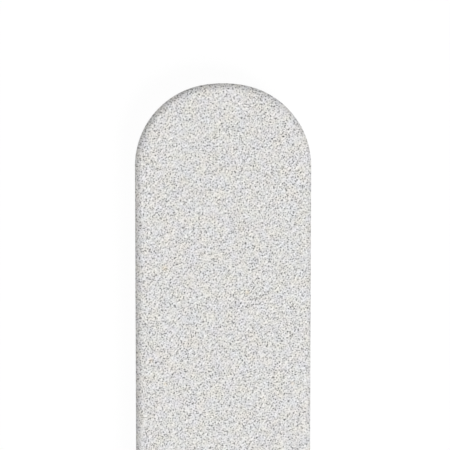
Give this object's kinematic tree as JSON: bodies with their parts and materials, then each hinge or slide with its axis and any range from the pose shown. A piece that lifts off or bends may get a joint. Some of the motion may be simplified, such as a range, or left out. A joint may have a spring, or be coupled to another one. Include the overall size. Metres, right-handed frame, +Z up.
{
  "type": "emery board",
  "caption": "Flat cushioned emery board with rounded tips: a stiff core strip between soft foam pads, faced on both sides with pale grey abrasive paper for filing nails.",
  "frame": {"origin": "middle of the lower abrasive face, which the board lies on", "axes": "+Y along the board's length, +X across its width, +Z up through its thickness to the upper face"},
  "size_m": [0.02, 0.178, 0.0042],
  "materials": {
    "core_plastic": "satin",
    "tape": "satin",
    "foam": "matte",
    "backing_paper": "matte",
    "bond_resin": "matte",
    "grit": "matte"
  },
  "bodies": {
    "root": {"core_strip": "core_plastic", "upper_core_tape": "tape", "lower_core_tape": "tape", "upper_foam_pad": "foam", "lower_foam_pad": "foam", "upper_paper_tape": "tape", "lower_paper_tape": "tape", "upper_backing_paper": "backing_paper", "lower_backing_paper": "backing_paper", "upper_bond_coat": "bond_resin", "lower_bond_coat": "bond_resin", "upper_grit": "grit", "lower_grit": "grit"}
  },
  "joints": []
}
